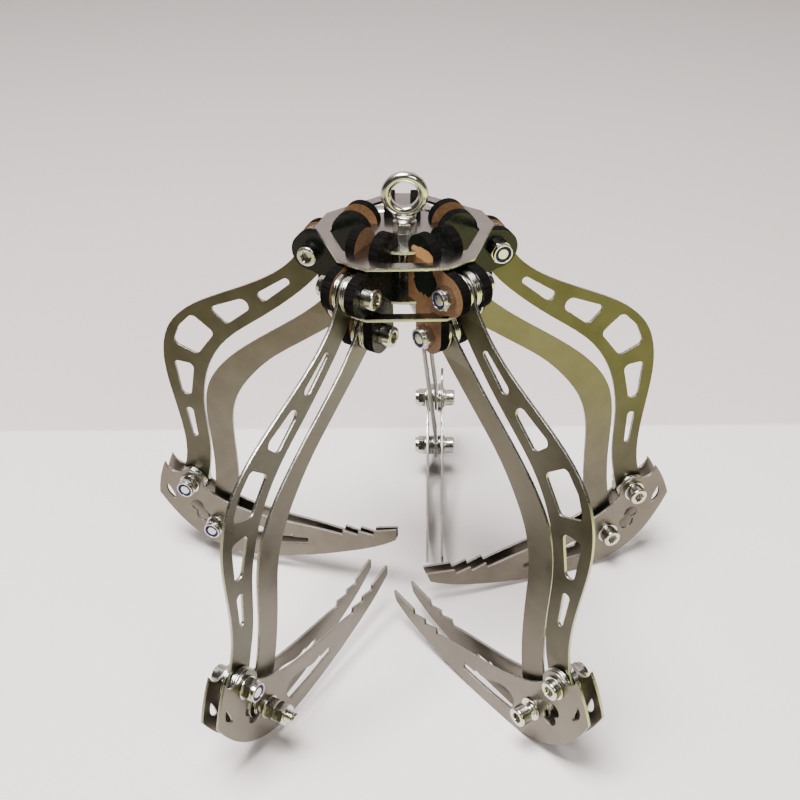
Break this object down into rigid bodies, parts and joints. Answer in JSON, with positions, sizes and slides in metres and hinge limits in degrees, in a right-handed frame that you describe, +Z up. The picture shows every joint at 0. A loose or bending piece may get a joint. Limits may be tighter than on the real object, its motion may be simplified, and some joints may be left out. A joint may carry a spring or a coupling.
{
  "type": "grapnel anchor",
  "caption": "Retrieval grapnel of the grab pattern: a two-plate hub under an eye bolt, with hinged arms that carry toothed double-plate claws.",
  "frame": {"origin": "middle of the footprint, on the floor", "axes": "+Z up, along the hub axis; -Y towards the viewer"},
  "size_m": [0.2958, 0.2914, 0.261],
  "materials": {
    "sheet_steel": "brushed, with bright cut edges",
    "fastener_steel": "polished",
    "board": "board with black faces and a brown core",
    "nylon": "moulded"
  },
  "bodies": {
    "hub": {"hub_plate_top": "sheet_steel", "hub_plate_bottom": "sheet_steel", "eye_bolt": "fastener_steel", "eye_bolt_nut_top": "fastener_steel", "eye_bolt_nut_bottom": "fastener_steel", "hub_pivot_screws": "fastener_steel", "hub_pivot_nuts": "fastener_steel", "hub_nut_rings": "nylon", "hub_spacer_washers": "fastener_steel", "rear_ear_a": "board", "rear_ear_b": "board", "left_ear_a": "board", "left_ear_b": "board", "front_left_ear_a": "board", "front_left_ear_b": "board", "front_right_ear_a": "board", "front_right_ear_b": "board", "right_ear_a": "board", "right_ear_b": "board"},
    "rear_outer_arm": {"rear_outer_bar": "sheet_steel"},
    "rear_inner_arm": {"rear_inner_bar": "sheet_steel"},
    "rear_claw": {"rear_claw_plate_a": "sheet_steel", "rear_claw_plate_b": "sheet_steel", "rear_claw_screws": "fastener_steel", "rear_claw_nuts": "fastener_steel", "rear_claw_nut_rings": "nylon", "rear_claw_washers": "fastener_steel"},
    "left_outer_arm": {"left_outer_bar": "sheet_steel"},
    "left_inner_arm": {"left_inner_bar": "sheet_steel"},
    "left_claw": {"left_claw_plate_a": "sheet_steel", "left_claw_plate_b": "sheet_steel", "left_claw_screws": "fastener_steel", "left_claw_nuts": "fastener_steel", "left_claw_nut_rings": "nylon", "left_claw_washers": "fastener_steel"},
    "front_left_outer_arm": {"front_left_outer_bar": "sheet_steel"},
    "front_left_inner_arm": {"front_left_inner_bar": "sheet_steel"},
    "front_left_claw": {"front_left_claw_plate_a": "sheet_steel", "front_left_claw_plate_b": "sheet_steel", "front_left_claw_screws": "fastener_steel", "front_left_claw_nuts": "fastener_steel", "front_left_claw_nut_rings": "nylon", "front_left_claw_washers": "fastener_steel"},
    "front_right_outer_arm": {"front_right_outer_bar": "sheet_steel"},
    "front_right_inner_arm": {"front_right_inner_bar": "sheet_steel"},
    "front_right_claw": {"front_right_claw_plate_a": "sheet_steel", "front_right_claw_plate_b": "sheet_steel", "front_right_claw_screws": "fastener_steel", "front_right_claw_nuts": "fastener_steel", "front_right_claw_nut_rings": "nylon", "front_right_claw_washers": "fastener_steel"},
    "right_outer_arm": {"right_outer_bar": "sheet_steel"},
    "right_inner_arm": {"right_inner_bar": "sheet_steel"},
    "right_claw": {"right_claw_plate_a": "sheet_steel", "right_claw_plate_b": "sheet_steel", "right_claw_screws": "fastener_steel", "right_claw_nuts": "fastener_steel", "right_claw_nut_rings": "nylon", "right_claw_washers": "fastener_steel"}
  },
  "joints": [
    {"name": "rear_open", "type": "hinge", "parent": "hub", "child": "rear_outer_arm", "pos_m": [-0.00153, 0.03387, 0.21843], "axis": [0.9997, -0.0244, 0], "range_deg": [0, 35]},
    {"name": "rear_link_swing", "type": "hinge", "parent": "hub", "child": "rear_inner_arm", "pos_m": [-0.00189, 0.01937, 0.19193], "axis": [0.9997, -0.0244, 0], "range_deg": [0, 35]},
    {"name": "rear_claw_turn", "type": "hinge", "parent": "rear_outer_arm", "child": "rear_claw", "pos_m": [0.00065, 0.12334, 0.04993], "axis": [0.9997, -0.0244, 0], "range_deg": [-35, 0]},
    {"name": "left_open", "type": "hinge", "parent": "hub", "child": "left_outer_arm", "pos_m": [-0.04396, 0.00471, 0.21843], "axis": [0.3355, 0.9421, 0], "range_deg": [0, 35]},
    {"name": "left_link_swing", "type": "hinge", "parent": "hub", "child": "left_inner_arm", "pos_m": [-0.0303, -0.00015, 0.19193], "axis": [0.3355, 0.9421, 0], "range_deg": [0, 35]},
    {"name": "left_claw_turn", "type": "hinge", "parent": "left_outer_arm", "child": "left_claw", "pos_m": [-0.12828, 0.03473, 0.04993], "axis": [0.3355, 0.9421, 0], "range_deg": [-35, 0]},
    {"name": "front_left_open", "type": "hinge", "parent": "hub", "child": "front_left_outer_arm", "pos_m": [-0.02522, -0.04765, 0.21843], "axis": [-0.8572, 0.515, 0], "range_deg": [0, 35]},
    {"name": "front_left_link_swing", "type": "hinge", "parent": "hub", "child": "front_left_inner_arm", "pos_m": [-0.01775, -0.03522, 0.19193], "axis": [-0.8572, 0.515, 0], "range_deg": [0, 35]},
    {"name": "front_left_claw_turn", "type": "hinge", "parent": "front_left_outer_arm", "child": "front_left_claw", "pos_m": [-0.07431, -0.12936, 0.05316], "axis": [-0.8572, 0.515, 0], "range_deg": [-35, 0]},
    {"name": "front_right_open", "type": "hinge", "parent": "hub", "child": "front_right_outer_arm", "pos_m": [0.02394, -0.04498, 0.21843], "axis": [-0.7965, -0.6046, 0], "range_deg": [0, 35]},
    {"name": "front_right_link_swing", "type": "hinge", "parent": "hub", "child": "front_right_inner_arm", "pos_m": [0.01517, -0.03343, 0.19193], "axis": [-0.7965, -0.6046, 0], "range_deg": [0, 35]},
    {"name": "front_right_claw_turn", "type": "hinge", "parent": "front_right_outer_arm", "child": "front_right_claw", "pos_m": [0.07805, -0.11627, 0.04993], "axis": [-0.7965, -0.6046, 0], "range_deg": [-35, 0]},
    {"name": "right_open", "type": "hinge", "parent": "hub", "child": "right_outer_arm", "pos_m": [0.0387, 0.00485, 0.21843], "axis": [0.3387, -0.9409, 0], "range_deg": [0, 35]},
    {"name": "right_link_swing", "type": "hinge", "parent": "hub", "child": "right_inner_arm", "pos_m": [0.02506, -0.00006, 0.19193], "axis": [0.3387, -0.9409, 0], "range_deg": [0, 35]},
    {"name": "right_claw_turn", "type": "hinge", "parent": "right_outer_arm", "child": "right_claw", "pos_m": [0.12291, 0.03517, 0.04993], "axis": [0.3387, -0.9409, 0], "range_deg": [-35, 0]}
  ],
  "couplings": [
    {"joint": "rear_link_swing", "follows": "rear_open", "ratio": 1},
    {"joint": "rear_claw_turn", "follows": "rear_open", "ratio": -1},
    {"joint": "left_link_swing", "follows": "left_open", "ratio": 1},
    {"joint": "left_claw_turn", "follows": "left_open", "ratio": -1},
    {"joint": "front_left_link_swing", "follows": "front_left_open", "ratio": 1},
    {"joint": "front_left_claw_turn", "follows": "front_left_open", "ratio": -1},
    {"joint": "front_right_link_swing", "follows": "front_right_open", "ratio": 1},
    {"joint": "front_right_claw_turn", "follows": "front_right_open", "ratio": -1},
    {"joint": "right_link_swing", "follows": "right_open", "ratio": 1},
    {"joint": "right_claw_turn", "follows": "right_open", "ratio": -1}
  ]
}
